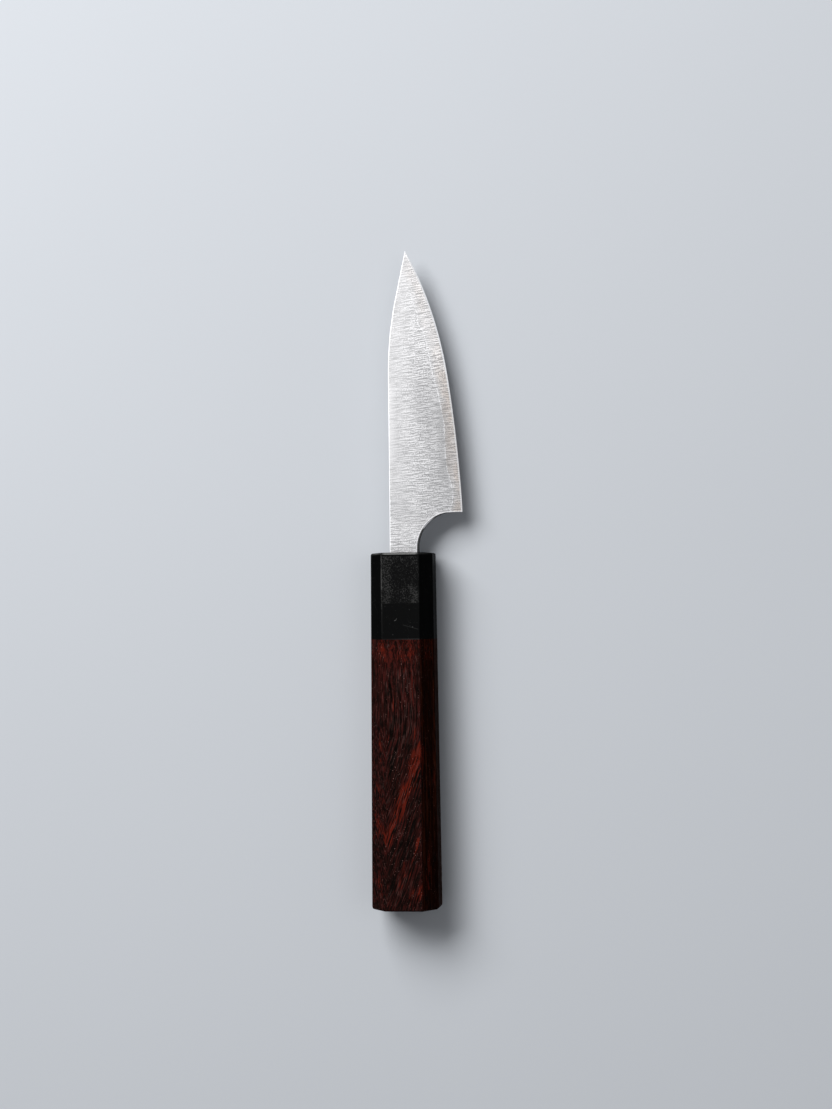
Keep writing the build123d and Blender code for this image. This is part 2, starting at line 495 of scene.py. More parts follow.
def core_tang_ring(form, low, high, _half):
    """The tang's core cut across, with as many points as the blade's."""
    thick = form.sizes.core_thickness / 2
    half = [at_height(low.lerp(high, t), thick) for t in steps(SEAM_STEPS)]
    half += [at_height(high, thick)] * (BAND_STEPS + 2)
    return both_sides([*half, at_height(high, 0.0)])


def laid_down():
    """The move from the maker's frame to the knife lying on its left side."""
    handle = bpy.context.scene.knife_handle
    blade = bpy.context.scene.knife_blade
    length = handle.ferrule_length + handle.body_length
    tilt = math.atan((handle.butt_thickness - handle.front_thickness) / 2 / length)
    point = Vector((0, blade.neck_length + blade.blade_length, 0))
    turn = Matrix.Rotation(-tilt, 4, "X")
    low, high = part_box("ferrule")
    shift = Vector((
        (low.x + high.x) / 2,
        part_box("blade_core")[1].y - (turn @ point).y,
        handle.front_thickness / 2 * math.cos(tilt),
    ))
    return Matrix.Translation(shift) @ turn


def only(obj):
    """Makes an object the only one selected, and the active one."""
    bpy.ops.object.select_all(action="DESELECT")
    obj.select_set(True)
    bpy.context.view_layer.objects.active = obj


def pick(obj, kind, wanted):
    """In edit mode, selects only the vertices, edges or faces for which wanted is true."""
    modes = {"verts": "VERT", "edges": "EDGE", "faces": "FACE"}
    bpy.ops.mesh.select_mode(type=modes[kind])
    bpy.ops.mesh.select_all(action="DESELECT")
    mesh = bmesh.from_edit_mesh(obj.data)
    found = [item for item in getattr(mesh, kind) if wanted(item)]
    if not found:
        raise RuntimeError(f"{obj.name}: none of its {kind} are where they should be")
    for item in found:
        item.select_set(True)
    bmesh.update_edit_mesh(obj.data)


def modify(obj, kind, **settings):
    """Adds a modifier with these settings and applies it."""
    only(obj)
    bpy.ops.object.modifier_add(type=kind)
    modifier = obj.modifiers[-1]
    for name, value in settings.items():
        setattr(modifier, name, value)
    bpy.ops.object.modifier_apply(modifier=modifier.name)


def cut_away(obj, cutter):
    """Cuts one shape out of another and deletes the cutter."""
    modify(obj, "BOOLEAN", operation="DIFFERENCE", object=cutter, solver="EXACT")
    bpy.data.objects.remove(cutter, do_unlink=True)


def lay_down(obj, material, node):
    """Lays a finished piece in its place, smooths it and ties it to the knife."""
    only(obj)
    obj.matrix_world = laid_down() @ obj.matrix_world
    bpy.ops.object.transform_apply(location=True, rotation=True, scale=True)
    bpy.ops.object.shade_smooth_by_angle(angle=SMOOTH_ANGLE)
    obj.data.materials.clear()
    obj.data.materials.append(material)
    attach(obj, "root")
    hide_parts(node)


def wrapped_skin(name, form, rings, crisp=()):
    """A closed skin from rings of points, all alike in number: a grid whose rows are bent into
    the rings, welded where they meet, with its two ends filled. The columns in crisp keep a
    sharp line. Each point remembers how far it is from the wavy line, edge, spine and rim."""
    across, along = len(rings[0]), len(rings)
    bpy.ops.object.select_all(action="DESELECT")
    bpy.ops.mesh.primitive_grid_add(x_subdivisions=across - 1, y_subdivisions=along - 1, size=1)
    skin = bpy.context.active_object
    skin.name = skin.data.name = name
    mesh = skin.data
    if len(mesh.vertices) != across * along:
        raise RuntimeError(f"{name}: the grid has {len(mesh.vertices)} points")
    for vertex in mesh.vertices:
        row, column = divmod(vertex.index, across)
        vertex.co = rings[row][column]
    distances = {
        "from_line": lambda place: form.line_x(place.y) - place.x,
        "from_edge": lambda place: form.edge(place.y) - place.x,
        "from_spine": lambda place: place.x - form.spine(place.y),
        "past_rim": form.past_rim,
    }
    for title, distance in distances.items():
        values = mesh.attributes.new(title, "FLOAT", "POINT").data
        for vertex in mesh.vertices:
            values[vertex.index].value = distance(vertex.co) / MM
    sharp = mesh.attributes.new("sharp_edge", "BOOLEAN", "EDGE").data
    for edge in mesh.edges:
        a, b = (divmod(i, across)[1] for i in edge.vertices)
        sharp[edge.index].value = a == b and a in crisp
    only(skin)
    bpy.ops.object.mode_set(mode="EDIT")
    bpy.ops.mesh.select_all(action="SELECT")
    bpy.ops.mesh.remove_doubles(threshold=NEAR / 2)
    bpy.ops.mesh.delete_loose()
    pick(skin, "edges", lambda edge: edge.is_boundary)
    bpy.ops.mesh.fill_holes(sides=0)
    bpy.ops.mesh.select_all(action="SELECT")
    bpy.ops.mesh.normals_make_consistent(inside=False)
    bpy.ops.object.mode_set(mode="OBJECT")
    return skin


def cladding(name, side, node):
    """One cladding: side is 1 for the right face and -1 for the left."""
    form = BladeForm(bpy.context.scene.knife_blade)
    rings = [cladding_tang_ring(form, *row) for row in form.tang_rows()]
    for row in form.rows():
        ring = cladding_ring(form, *row)
        rings.append(ring)
        if max(p.x for p in ring) - min(p.x for p in ring) < HAIR:
            break
    rings = [[Vector((p.x, p.y, p.z * side)) for p in ring] for ring in rings]
    skin = wrapped_skin(name, form, rings)
    lay_down(skin, cladding_steel(), node)


class KNIFE_OT_claddings(Operator):
    """Add the soft steel cladding on each face of the blade"""

    bl_idname = "knife.claddings"
    bl_label = "Blade claddings"

    def execute(self, context):
        cladding("right_cladding", 1, "blade_cladding_right")
        cladding("left_cladding", -1, "blade_cladding_left")
        return {"FINISHED"}


class KNIFE_OT_core(Operator):
    """Add the hard steel core with its bare band, cutting bevels and tang"""

    bl_idname = "knife.core"
    bl_label = "Blade core"

    def execute(self, context):
        form = BladeForm(context.scene.knife_blade)
        rings = [core_tang_ring(form, *row) for row in form.tang_rows()]
        rings += [core_ring(form, *row) for row in form.rows()]
        line, shoulder = SEAM_STEPS, SEAM_STEPS + 1 + BAND_STEPS
        middle = shoulder + 2
        half = {line, line + 1, shoulder, shoulder + 1, middle}
        crisp = half | {2 * middle - i for i in half}
        skin = wrapped_skin("core", form, rings, crisp)
        lay_down(skin, core_steel(), "blade_core")
        return {"FINISHED"}


def tapered_block(name, front_y, back_y):
    """The length of the eight-sided tapered handle between two places, with sharp arrises. Its
    two ends fall away a little towards the narrow sides."""
    h = bpy.context.scene.knife_handle
    butt_y = -(h.ferrule_length + h.body_length)
    bpy.ops.object.select_all(action="DESELECT")
    bpy.ops.mesh.primitive_cube_add(
        size=1, location=(0, butt_y / 2, 0), scale=(h.butt_height, -butt_y, h.butt_thickness)
    )
    block = bpy.context.active_object
    block.name = block.data.name = name
    bpy.ops.object.transform_apply(location=True, rotation=False, scale=True)
    bpy.ops.object.mode_set(mode="EDIT")
    pick(block, "edges", lambda e: abs(e.verts[0].co.y - e.verts[1].co.y) > -butt_y / 2)
    bpy.ops.mesh.bevel(offset=h.butt_corner, offset_type="OFFSET", segments=1, affect="EDGES")
    side, top = h.butt_height / 2, h.butt_thickness / 2
    front_side, front_top = h.front_height / 2, h.front_thickness / 2
    inner = [half - h.front_corner for half in (front_side, front_top)]
    outer = [half - h.butt_corner for half in (side, top)]
    # The front end is drawn in to its own size: first its narrow sides, then its broad flats
    narrowing = (
        (0, side, (front_side / side, 1, inner[1] / outer[1])),
        (2, top, (inner[0] / outer[0], 1, front_top / top)),
    )
    for axis, half, scale in narrowing:
        pick(block, "verts", lambda v: v.co.y > -NEAR and abs(v.co[axis]) > half - NEAR)
        bpy.ops.transform.resize(value=scale, center_override=(0, 0, 0))
    start = outer[0] + CROWN_START
    for place, direction in ((front_y, 1), (back_y, -1)):
        planes = [((0, place, 0), (0, direction, 0))]
        if not butt_y + NEAR < place < -NEAR:
            planes = [
                ((way * start, place, 0), (way * h.crown, direction * (side - start), 0))
                for way in (-1, 1)
            ]
        for point, normal in planes:
            bpy.ops.mesh.select_all(action="SELECT")
            bpy.ops.mesh.bisect(
                plane_co=point, plane_no=normal, use_fill=True, clear_outer=True, threshold=NEAR
            )
    bpy.ops.object.mode_set(mode="OBJECT")
    return block


def softened(block, front_y, back_y, front_ease, back_ease):
    """Rounds a block's long arrises and the rims at its two ends, and notes where it did."""
    h = bpy.context.scene.knife_handle
    near, widest = h.crown + HAIR, max(front_ease, back_ease, h.arris)

    def at(place, edge):
        by_the_end = all(abs(v.co.y - place) < near for v in edge.verts)
        return by_the_end and edge.calc_face_angle(0) > RIM_ANGLE

    def along(edge):
        return abs(edge.verts[0].co.y - edge.verts[1].co.y) > (front_y - back_y) / 2

    only(block)
    bpy.ops.object.mode_set(mode="EDIT")
    rims = ((partial(at, front_y), front_ease), (partial(at, back_y), back_ease))
    for wanted, ease in (*rims, (along, h.arris)):
        pick(block, "edges", wanted)
        bpy.ops.transform.edge_bevelweight(value=ease / widest)
    bpy.ops.object.mode_set(mode="OBJECT")
    modify(
        block, "BEVEL", width=widest, segments=ROUND_STEPS, limit_method="WEIGHT",
        use_clamp_overlap=False,
    )
    worn = block.data.attributes.new("worn", "FLOAT", "POINT").data
    for item in worn:
        item.value = 1.0
    for face in block.data.polygons:
        if face.area > FACET_AREA:
            for i in face.vertices:
                worn[i].value = 0.0


def bored(block, front_y, back_y):
    """Bores a block for the dowel between two places."""
    radius = bpy.context.scene.knife_handle.bore / 2
    bpy.ops.object.select_all(action="DESELECT")
    bpy.ops.mesh.primitive_cylinder_add(
        vertices=BORE_SIDES, radius=radius, depth=front_y - back_y,
        location=(0, (front_y + back_y) / 2, 0), rotation=(math.pi / 2, 0, 0),
    )
    cut_away(block, bpy.context.active_object)


class KNIFE_OT_ferrule(Operator):
    """Add the black ferrule with its slot for the neck"""

    bl_idname = "knife.ferrule"
    bl_label = "Ferrule"

    def execute(self, context):
        h, b = context.scene.knife_handle, context.scene.knife_blade
        back_y = -h.ferrule_length
        collar = tapered_block("black_collar", 0.0, back_y)
        softened(collar, 0.0, back_y, h.front_ease, h.joint_ease)
        bored(collar, -h.ferrule_wall, back_y - OVERRUN)
        middle = b.neck_height / 2 - b.spine_offset
        depth = h.ferrule_wall + 2 * OVERRUN
        size = (b.neck_height + h.slot_play, depth, b.neck_thickness + h.slot_play)
        place = (middle, OVERRUN - depth / 2, 0)
        bpy.ops.mesh.primitive_cube_add(size=1, location=place, scale=size)
        cut_away(collar, context.active_object)
        lay_down(collar, black_horn(), "ferrule")
        modify(collar, "WEIGHTED_NORMAL", keep_sharp=True)
        return {"FINISHED"}


class KNIFE_OT_body(Operator):
    """Add the eight-sided wooden grip"""

    bl_idname = "knife.body"
    bl_label = "Handle body"

    def execute(self, context):
        h = context.scene.knife_handle
        front_y = -h.ferrule_length
        back_y = front_y - h.body_length
        grip = tapered_block("wooden_grip", front_y, back_y)
        softened(grip, front_y, back_y, h.joint_ease, h.butt_ease)
        bored(grip, front_y + OVERRUN, front_y - h.bore_depth)
        lay_down(grip, dark_rosewood(), "handle_body")
        modify(grip, "WEIGHTED_NORMAL", keep_sharp=True)
        return {"FINISHED"}


class KNIFE_OT_joinery(Operator):
    """Finish the dowel, the bedding and the seal that hold the tang"""

    bl_idname = "knife.joinery"
    bl_label = "Hidden joinery"

    def execute(self, context):
        finishes = {
            "tang_dowel": dowel_wood(), "tang_bedding": set_resin(), "slot_seal": dark_sealant()
        }
        for node, material in finishes.items():
            slots = bpy.data.objects[node].material_slots
            if not slots:
                raise RuntimeError(f"{node} has no material slot")
            for slot in slots:
                slot.material = material
        return {"FINISHED"}


class Value:
    """A value in a node tree. It adds, subtracts, multiplies and divides as numbers do."""

    def __init__(self, tree, socket):
        self.tree, self.socket = tree, socket

    def __add__(self, other):
        return self.tree.math("ADD", self, other)

    def __sub__(self, other):
        return self.tree.math("SUBTRACT", self, other)

    def __mul__(self, other):
        return self.tree.math("MULTIPLY", self, other)

    def __truediv__(self, other):
        return self.tree.math("DIVIDE", self, other)

    def __rsub__(self, other):
        return self.tree.math("SUBTRACT", other, self)

    def __abs__(self):
        return self.tree.math("ABSOLUTE", self)

    __radd__, __rmul__ = __add__, __mul__

    def ramp(self, start, end, low=0, high=1):
        """Rises or falls smoothly from low at start to high at end."""
        if start > end:
            start, end, low, high = end, start, high, low
        places = {"Value": self, 1: start, 2: end, 3: low, 4: high}
        return self.tree.value("MapRange", places, interpolation_type="SMOOTHSTEP")


class NodeTree:
    """Short calls that add the nodes of one material or group and join them."""

    def __init__(self, tree):
        self.tree = tree

    def node(self, kind, inputs=None, **settings):
        node = self.tree.nodes.new("ShaderNode" + kind)
        for name, value in settings.items():
            setattr(node, name, value)
        for name, value in (inputs or {}).items():
            self.put(value, node.inputs[name])
        return node

    def put(self, value, socket):
        if isinstance(value, Value):
            self.tree.links.new(value.socket, socket)
        else:
            socket.default_value = value

    def value(self, kind, inputs=None, output=0, **settings):
        return Value(self, self.node(kind, inputs, **settings).outputs[output])

    def values(self, node):
        return {socket.name: Value(self, socket) for socket in node.outputs}

    def math(self, operation, a, b=0, clamp=False):
        return self.value("Math", {0: a, 1: b}, operation=operation, use_clamp=clamp)

    def most(self, first, *others):
        for other in others:
            first = self.math("MAXIMUM", first, other)
        return first

    def layered(self, colour, *layers):
        """Colours laid one over another, each as far as its share goes."""
        for share, over in layers:
            inputs = {0: share, 6: colour, 7: over}
            colour = self.value("Mix", inputs, 2, data_type="RGBA", clamp_factor=True)
        return colour

    def parts(self, vector):
        return self.values(self.node("SeparateXYZ", {0: vector})).values()

    def vector(self, x, y, z):
        return self.value("CombineXYZ", {0: x, 1: y, 2: z})

    def attribute(self, name):
        return self.value("Attribute", output="Fac", attribute_name=name)

    def shared(self, fill, **inputs):
        """What a node group gives for these inputs. It is filled when it is first used."""
        inputs = {name.replace("_", " "): value for name, value in inputs.items()}
        group = bpy.data.node_groups.get(fill.__name__) or new_group(fill, inputs)
        return self.values(self.node("Group", inputs, node_tree=group))

    def noise(self, place, lengths, detail=0, roughness=0.5, distortion=0, offset=(0, 0, 0)):
        """Noise whose spots are about as long as given, in millimetres: along x, y and z, or
        across and along the grain."""
        stretch = [1 / length for length in (*lengths, lengths[0])[:3]]
        return self.shared(
            stretched_grain, place=place, stretch=stretch, offset=offset,
            detail=detail, roughness=roughness, distortion=distortion,
        )["grain"]


def rgb(colour, level=1):
    return (*(channel * level for channel in colour), 1)


def new_group(fill, names):
    """A node group that takes values of these names and gives what fill makes of them."""
    group = bpy.data.node_groups.new(fill.__name__, "ShaderNodeTree")
    for name in names:
        kind = "NodeSocketVector" if name in ("place", "stretch", "offset") else "NodeSocketFloat"
        group.interface.new_socket(name=name, in_out="INPUT", socket_type=kind)
    tree = NodeTree(group)
    results = fill(tree, tree.values(group.nodes.new("NodeGroupInput")))
    for name in results:
        group.interface.new_socket(name=name, in_out="OUTPUT", socket_type="NodeSocketFloat")
    leaving = group.nodes.new("NodeGroupOutput").inputs
    for name, value in results.items():
        tree.put(value, leaving[name])
    return group


def stretched_grain(tree, entry):
    """Noise drawn out along one or more axes."""
    mapped = tree.value("Mapping", {
        "Vector": entry["place"], "Location": entry["offset"], "Scale": entry["stretch"],
    })
    return {"grain": tree.value("TexNoise", {
        "Vector": mapped, "Scale": 1, "Detail": entry["detail"],
        "Roughness": entry["roughness"], "Distortion": entry["distortion"],
    })}


def hand_wear(tree, entry):
    """Fine scratches, smudges and specks from use."""
    place = entry["place"]
    turned = tree.value("Mapping", {"Vector": place, "Rotation": (0, 0, 1.1)})
    crossed = tree.value("Mapping", {"Vector": place, "Rotation": (0, 0, -0.5)})
    hair = tree.noise(turned, (9, 0.10, 3), 1).ramp(0.72, 0.80)
    other = tree.noise(crossed, (7, 0.09, 3), 1, offset=(3, 7, 1)).ramp(0.73, 0.81)
    sparse = tree.noise(place, (6, 8), 1).ramp(0.45, 0.65)
    return {
        "scratches": tree.most(hair, other) * sparse,
        "smudges": tree.noise(place, (9, 14), 4, 0.6).ramp(0.35, 0.7),
        "specks": tree.noise(place, (0.28, 0.33)).ramp(0.80, 0.86),
    }


def grinding_marks(tree, entry):
    """The fine lines that the stones left across the blade, a little uphill to the edge."""
    x, y, z = tree.parts(entry["place"])
    place = tree.vector(x, y - y.ramp(5, 85, 0.07, 0.17) * x, z)
    fine = tree.noise(place, (4.4, 0.29, 40), 1, 0.6)
    beside = tree.noise(place, (4.4, 0.29, 40), 1, 0.6, offset=(0, 1.1, 0))
    finer = tree.noise(place, (2.4, 0.26, 40), offset=(2, 5, 0))
    grit = tree.noise(place, (0.38, 0.28, 40), offset=(5, 3, 0))
    lines = (fine - beside) * 0.62 + finer * 0.38 + grit * 0.52 + 0.05
    return {
        "lines": lines.ramp(0.37, 0.63),
        "deep": tree.noise(place, (4, 0.34, 40), offset=(7, 2, 0)).ramp(0.60, 0.72),
        "broad": tree.noise(place, (7, 7, 40), 3, offset=(1, 9, 0)),
    }


def drawn_stroke(tree, entry):
    """One brush-like stroke of colour from one place to another, thinning to its ends."""
    x, y, _ = tree.parts(entry["place"])
    run_x, run_y = entry["end x"] - entry["start x"], entry["end y"] - entry["start y"]
    from_x, from_y = x - entry["start x"], y - entry["start y"]
    along = from_x * run_x + from_y * run_y
    share = tree.math("DIVIDE", along, run_x * run_x + run_y * run_y, clamp=True)
    off_x, off_y = from_x - share * run_x, from_y - share * run_y
    away = tree.math("SQRT", off_x * off_x + off_y * off_y)
    return {"mask": (away / entry["half width"]).ramp(2.3, 0.2) * entry["strength"]}


def drawn(tree, place, strokes):
    """The strongest of several strokes, each from one x and y to another with its half width
    and strength."""
    return tree.most(*(
        tree.shared(
            drawn_stroke, place=place, start_x=x0, start_y=y0, end_x=x1, end_y=y1,
            half_width=half, strength=strength,
        )["mask"]
        for x0, y0, x1, y1, half, strength in strokes
    ))


def empty_material(name):
    """A material without nodes, and its node tree."""
    material = bpy.data.materials.new(name)
    material.use_nodes = True
    material.node_tree.nodes.clear()
    return material, NodeTree(material.node_tree)


def new_material(name):
    """An empty material, and the place on the piece in the maker's frame, in millimetres."""
    material, tree = empty_material(name)
    back = laid_down().inverted()
    place = tree.value("Mapping", {
        "Vector": tree.value("TexCoord", output="Object"),
        "Location": back.to_translation() / MM,
        "Rotation": back.to_euler(),
        "Scale": (1 / MM, 1 / MM, 1 / MM),
    })
    return material, tree, place


def finish(tree, colour, roughness, height, depth, **fixed):
    """The surface's shader: what varies comes in linked, and what is even is set here."""
    bump = tree.value("Bump", {"Height": height, "Distance": depth * MM, "Strength": 1})
    inputs = {"Base Color": colour, "Roughness": roughness, "Normal": bump}
    inputs.update({name.replace("_", " "): value for name, value in fixed.items()})
    tree.node("OutputMaterial", {"Surface": tree.value("BsdfPrincipled", inputs)})


# Where the steel is painted a little darker, as shade, and a little brighter, as reflection, than
# the rest: strokes in millimetres in the maker's frame, from one x and y to another, with half the
# width and the strength. The horn's and the wood's strokes below are given the same way.
STEEL_PAINTED_SHADE = [
    (-1, 12.5, 6, 11, 2.2, 0.20), (12.4, 44, 13.4, 24, 1.3, 0.36), (5, 50, 6, 41, 1.6, 0.22),
    (13.6, 38.5, 14.2, 32, 0.8, 0.34), (6.4, 9.5, 6, 7.5, 1, 0.3),
]
STEEL_PAINTED_SHINE = [
    (-3.6, 28, -3.4, 50, 1.2, 0.34), (1.5, 84, 2, 74, 1.6, 0.10), (6.8, 72, 10, 62, 1, 0.24),
]
# A pale steel colour: the wavy line's faint streak, and the painted highlights along the cutting
# edge, the spine and the notch's rim.
PALE_STEEL_AND_HIGHLIGHT = (0.93, 0.93, 0.94, 1)


def steel(name, colour, core_colour, dull):
    """Ground steel with fine lines: warmer past the wavy line, which is a faint broken streak,
    with painted shade a little darker towards the edge and on the notch's rounded rim, and painted
    highlights along the spine, the cutting edge and beside the notch's rim."""
    material, tree, place = new_material(name)
    marks = tree.shared(grinding_marks, place=place)
    wear = tree.shared(hand_wear, place=place)
    x, y, _ = tree.parts(place)
    from_line, from_edge = tree.attribute("from_line"), tree.attribute("from_edge")
    from_spine, past_rim = tree.attribute("from_spine"), tree.attribute("past_rim")
    near_tip = y.ramp(62, 86)
    stained = tree.noise(place, (2.5, 5, 3), 2, 0.6).ramp(0.35, 0.60, 0.5, 1)
    bare = from_line.ramp(0.4, -2.4) * y.ramp(70, 44, 0.25, 1) * stained
    low = tree.layered(rgb(colour, 0.58), (bare, rgb(core_colour, 0.57)))
    high = tree.layered(rgb(colour, 1.40), (bare, rgb(core_colour, 1.38)))
    # Painted light: the lines' contrast is painted weaker on the spine's side and stronger towards
    # the edge, standing in for how the light shows them; near the neck it is strong as well.
    depth = tree.most(x.ramp(-3, 8, 0.32, 1), y.ramp(22, 8, 0.32, 0.78))
    lines = (marks["lines"] - 0.5) * depth + 0.5
    # Painted shade: the steel darker towards the edge, less so towards the point.
    shaded = from_edge.ramp(16, 4) * y.ramp(44, 64, 0.38, 0.12)
    broken = tree.noise(place, (0.5, 0.7, 3), 2, 0.7).ramp(0.42, 0.56)
    swerve = tree.noise(place, (2, 1.1, 3), 2, 0.6, offset=(4, 0, 0)) - 0.5
    near_line = abs(from_line + swerve).ramp(0.21, 0.03) * broken * near_tip.ramp(0.9, 0.3, 0.2, 1)
    # Painted highlights: bright lines along the cutting edge, whose bevel is also smoother, and
    # along the spine.
    at_edge = from_edge.ramp(0.50, 0.38) * y.ramp(40, 60, 0.55, 1)
    at_spine = from_spine.ramp(0.34, 0.18) * near_tip.ramp(0.2, 1, 1, 0.55)
    # At the finger notch: a painted highlight on the face beside the rounded rim, and a painted
    # glint along part of the rim's round.
    beside_rim = past_rim.ramp(0, 0.06) * past_rim.ramp(0.36, 0.20)
    glint = past_rim.ramp(-0.46, -0.34) * past_rim.ramp(-0.06, -0.16)
    glint = glint * y.ramp(6.8, 7.8) * y.ramp(10.9, 9.4)
    shade = tree.layered(
        low, (lines, high),
        (marks["broad"].ramp(0.38, 0.62, 0, 0.12), rgb(colour, 0.6)),
        (marks["deep"] * 0.38, rgb(colour, 0.5)),
        (shaded, rgb(colour, 0.5)),
        (drawn(tree, place, STEEL_PAINTED_SHADE), rgb(core_colour, 0.5)),
        (drawn(tree, place, STEEL_PAINTED_SHINE), rgb(colour, 1.3)),
        (near_line * 0.50, PALE_STEEL_AND_HIGHLIGHT),
        (tree.most(at_edge, at_spine) * 0.85, PALE_STEEL_AND_HIGHLIGHT),
        (beside_rim * 0.45, PALE_STEEL_AND_HIGHLIGHT),
        # Painted shade: the notch's rounded rim dark, as a dim reflection.
        (past_rim.ramp(0.03, -0.07) * 0.9, rgb(colour, 0.05)),
        (glint * 0.6, PALE_STEEL_AND_HIGHLIGHT),
    )
    rough = marks["lines"] * 0.08 + wear["smudges"] * 0.05 - at_edge * 0.12 + dull
    height = lines - marks["deep"] * 0.6 + wear["scratches"]
    finish(tree, shade, rough, height, 0.0008, Metallic=1)
    return material


def cladding_steel():
    colour = bpy.context.scene.knife_finish.cladding
    made = bpy.data.materials.get("cladding_steel_finish")
    return made or steel("cladding_steel_finish", colour, colour, 0.42)


def core_steel():
    finishes = bpy.context.scene.knife_finish
    return steel("core_steel_finish", finishes.cladding, finishes.core, 0.41)


HORN_PATCHES = [
    (-4.6, -1.8, -4.3, -14.8, 1.1, 0.8), (-3, -2, -3.6, -8, 1, 0.5),
    (4, -10.8, 4.3, -15, 0.9, 1), (3.6, -1.4, 4.6, -2.6, 0.6, 0.8),
    (-0.9, -1.2, 0.6, -1.9, 0.4, 0.5), (1, -12.6, 3, -14.6, 0.8, 0.4),
]
HORN_NICKS = [
    (-1.85, -20.7, -1.4, -20.5, 0.06, 0.9), (-1.4, -20.5, -1.15, -20, 0.05, 0.6),
    (0.8, -22, 5.4, -23.3, 0.05, 0.20), (3.65, -22.6, 3.75, -22.65, 0.09, 0.6),
    (-2.4, -24.9, -2.35, -24.95, 0.07, 0.5), (2.75, -17.3, 2.85, -17.4, 0.07, 0.3),
]


def black_horn():
    """Black horn, rubbed grey on its facets towards the blade and along its arrises, with a
    painted sheen on its top facet and a painted glint on its front rim.
    """
    horn, grey = bpy.context.scene.knife_finish.horn, bpy.context.scene.knife_finish.haze
    material, tree, place = new_material("black_horn_finish")
    x, y, z = tree.parts(place)
    wear = tree.shared(hand_wear, place=place)
    cloud = tree.noise(place, (2.4, 3), 4, 0.65)
    grit = tree.noise(place, (0.32, 0.38), 1, 0.8, offset=(4, 1, 6))
    fibre = tree.noise(place, (0.35, 12), 2, 0.6, offset=(2, 8, 3))
    band_end = tree.noise(place, (4, 4), 1) * 0.6 - 15.7
    rubbed = (y - band_end).ramp(-0.15, 0.15) * y.ramp(-0.7, -1.3)
    on_top = z.ramp(5.5, 7) * abs(x).ramp(5.9, 5.6)
    density = cloud.ramp(0.35, 0.70) * 0.09 + drawn(tree, place, HORN_PATCHES) * 0.13
    haze = (grit + density).ramp(0.58, 0.82) * rubbed * (on_top * 0.74 + 0.02)
    # Painted sheen: the top facet a little lighter than the others, more where it is rubbed.
    painted_top_sheen = on_top * (rubbed * 0.02 + 0.055)
    scuffed = tree.attribute("worn") * (cloud + grit * 0.6).ramp(0.62, 0.90)
    left_arris = x.ramp(-4.5, -5.4) * y.ramp(-21, -10, 0.08, 1)
    edge = scuffed * (left_arris * 0.55 + 0.02)
    seam = y.ramp(-26.1, -26.3) * x.ramp(-4, 3, 0.10, 0.32) * on_top
    # Painted glint: a bright grey line along the front rim, strongest on the top facet and faint
    # towards the corners, broken by the grit.
    rim = y.ramp(-0.66, -0.50) * abs(x).ramp(5.7, 4.4, 0.08, 1) * z.ramp(4, 7)
    rim = rim * grit.ramp(0.35, 0.6, 0.6, 1) * y.ramp(-0.10, -0.26)
    colour = tree.layered(
        rgb(horn, 0.8), (fibre, rgb(horn, 1.9)),
        (haze + painted_top_sheen, rgb(grey)),
        (tree.most(edge, seam), rgb(grey, 1.7)),
        (rim * 0.85, rgb(grey, 5)),
        (drawn(tree, place, HORN_NICKS) * on_top, rgb(grey, 2)),
        (wear["scratches"] * 0.4, rgb(grey, 1.5)),
        (wear["specks"] * 0.22, rgb(grey, 2)),
    )
    rough = haze * 0.30 + wear["smudges"] * 0.06 + edge * 0.2 + 0.24
    height = grit * (haze + 0.15) - wear["scratches"] * 0.5 + fibre * 0.25
    finish(tree, colour, rough, height, 0.012, Specular_IOR_Level=0.002)
    return material


WOOD_FLAMES = [
    (5.4, -60.2, 3.8, -64.4, 1.3, 1), (3.8, -64.4, 2.9, -69, 0.8, 0.9),
    (3.9, -69, 0.9, -71.4, 0.8, 1), (0.9, -71.4, -0.7, -74.8, 0.95, 1),
    (-0.5, -74.8, -1, -78.6, 1, 1), (-2.8, -82, -4, -84.2, 0.85, 0.8),
    (-4, -84.2, -4.6, -87, 0.9, 0.9), (-8.5, -80.1, -6.6, -83.6, 0.4, 0.9),
    (-6.4, -83.2, -5, -88.8, 0.42, 0.9), (5.2, -86, 4.2, -90.3, 0.38, 0.8),
    (5.7, -100.8, 4.8, -104.1, 0.46, 1), (3.3, -101.7, 1.7, -105.6, 0.24, 0.6),
    (4.8, -104.7, 3.2, -108, 0.23, 0.5), (0.3, -94.1, 0, -96.3, 0.3, 0.6),
    (0.6, -97.2, -1, -99.6, 0.38, 0.7), (-7.8, -98, -6.5, -102.7, 0.33, 0.6),
    (-8.2, -69.8, -6.1, -74.5, 0.33, 0.6), (-8.9, -77.7, -7.1, -81.2, 0.27, 0.5),
    (-6.2, -27.8, -5.2, -31, 0.8, 0.9), (3.6, -28, 2.4, -31.4, 0.5, 0.8),
    (-0.4, -30.4, 1.4, -31.4, 0.5, 0.6), (3.2, -33.8, 0.2, -35, 0.35, 0.5),
    (-6.9, -55, -6.4, -60, 0.3, 0.5), (-2.6, -50.6, -2.4, -52.6, 0.4, 0.4),
    (-2.1, -43.6, -2.2, -48.2, 0.32, 0.6), (-4, -55, -3.6, -57.8, 0.46, 0.5),
    (4, -52.6, 4.1, -55.7, 0.24, 0.5), (9.6, -65.7, 9.3, -69.3, 0.18, 0.6),
    (10.3, -79.4, 10.4, -84, 0.23, 0.7), (7.8, -90.4, 7.8, -96.5, 0.23, 0.8),
    (7.2, -96.4, 7.8, -101, 0.23, 0.6), (7.7, -27, 7.8, -32.7, 0.23, 0.4),
    (6.5, -49.7, 6.8, -52.7, 0.23, 0.5), (3.3, -91.5, 2.2, -97.5, 0.28, 0.5),
    (6.3, -61.5, 6.6, -65, 0.3, 0.8),
]
